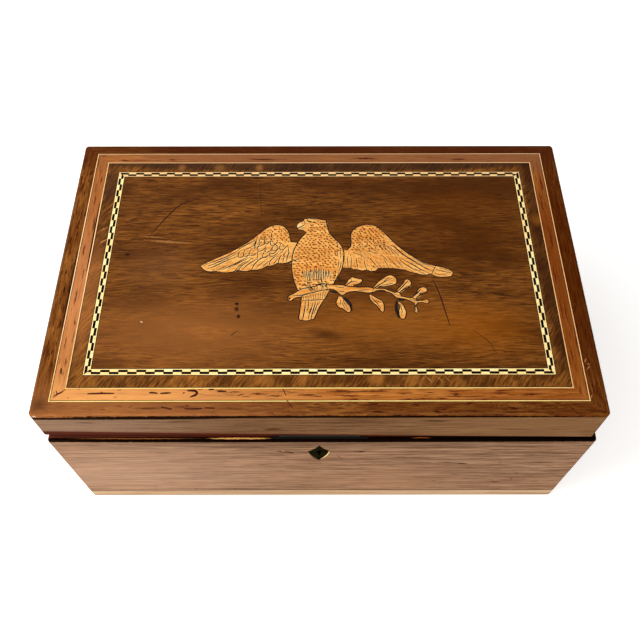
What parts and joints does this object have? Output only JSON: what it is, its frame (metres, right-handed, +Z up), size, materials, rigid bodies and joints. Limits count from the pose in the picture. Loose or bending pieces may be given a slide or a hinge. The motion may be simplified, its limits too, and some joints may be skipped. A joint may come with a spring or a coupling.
{
  "type": "document box",
  "caption": "Low rectangular wooden box for flat papers, with a banded marquetry lid showing an eagle over a branch, back hinges, a front lock and a kite-shaped keyhole plate.",
  "frame": {"origin": "middle of the underside of the bottom board, at the mount rest_face", "axes": "+X to the right along the front, +Y from the front to the back, +Z up"},
  "size_m": [0.4106, 0.2586, 0.1758],
  "materials": {
    "case_walnut": "old walnut, faded grey-brown, rubbed",
    "pine": "bare softwood, aged",
    "rail_walnut": "old walnut, faded, rubbed at the lower edge",
    "border_wood": "dark red-brown, worn varnish",
    "string_wood": "pale close-grained stringing",
    "light_wood": "golden brown with dark pores",
    "figured_walnut": "figured walnut veneer, worn varnish",
    "black_wood": "black stained wood",
    "inlay_wood": "golden inlay wood with engraved lines",
    "dark_inlay": "nearly black inlay",
    "iron": "blackened wrought iron",
    "spring_steel": "dull spring steel",
    "brass": "tarnished brass"
  },
  "bodies": {
    "carcase": {"body_back": "case_walnut", "body_front": "case_walnut", "body_left": "case_walnut", "body_right": "case_walnut", "bottom_board": "pine", "bottom_nails": "iron", "drill_pin": "iron", "escutcheon": "dark_inlay", "hinge_body_leaf_left": "brass", "hinge_body_leaf_right": "brass", "hinge_body_screws": "brass", "hinge_pin_left": "brass", "hinge_pin_right": "brass", "lock_case": "iron", "lock_plate": "iron", "lock_screws": "iron"},
    "lid": {"border_band_back": "border_wood", "border_band_front": "border_wood", "border_band_left": "border_wood", "border_band_right": "border_wood", "branch": "inlay_wood", "chequer_dark_blocks": "black_wood", "chequer_light_blocks": "string_wood", "chequer_lines": "string_wood", "crossband_back": "figured_walnut", "crossband_front": "figured_walnut", "crossband_left": "figured_walnut", "crossband_right": "figured_walnut", "eagle_body": "inlay_wood", "eagle_left_wing": "inlay_wood", "eagle_right_wing": "inlay_wood", "eagle_tail": "inlay_wood", "field_veneer": "figured_walnut", "hinge_lid_leaf_left": "brass", "hinge_lid_leaf_right": "brass", "hinge_lid_screws": "brass", "inner_string": "string_wood", "leaves": "inlay_wood", "lid_back": "rail_walnut", "lid_front": "rail_walnut", "lid_left": "rail_walnut", "lid_panel": "pine", "lid_right": "rail_walnut", "light_band_back": "light_wood", "light_band_front": "light_wood", "light_band_left": "light_wood", "light_band_right": "light_wood", "link_plate": "iron", "link_plate_screws": "iron", "outer_string": "string_wood"},
    "lock_bolt": {"lock_bolt": "iron", "bolt_spring": "spring_steel"}
  },
  "joints": [
    {"name": "lid_hinge", "type": "hinge", "parent": "carcase", "child": "lid", "pos_m": [0, 0.126, 0.132], "axis": [-1, 0, 0], "range_deg": [0, 97]},
    {"name": "lock_bolt_slide", "type": "slide", "parent": "carcase", "child": "lock_bolt", "axis": [1, 0, 0], "range_m": [0, 0.006]}
  ]
}
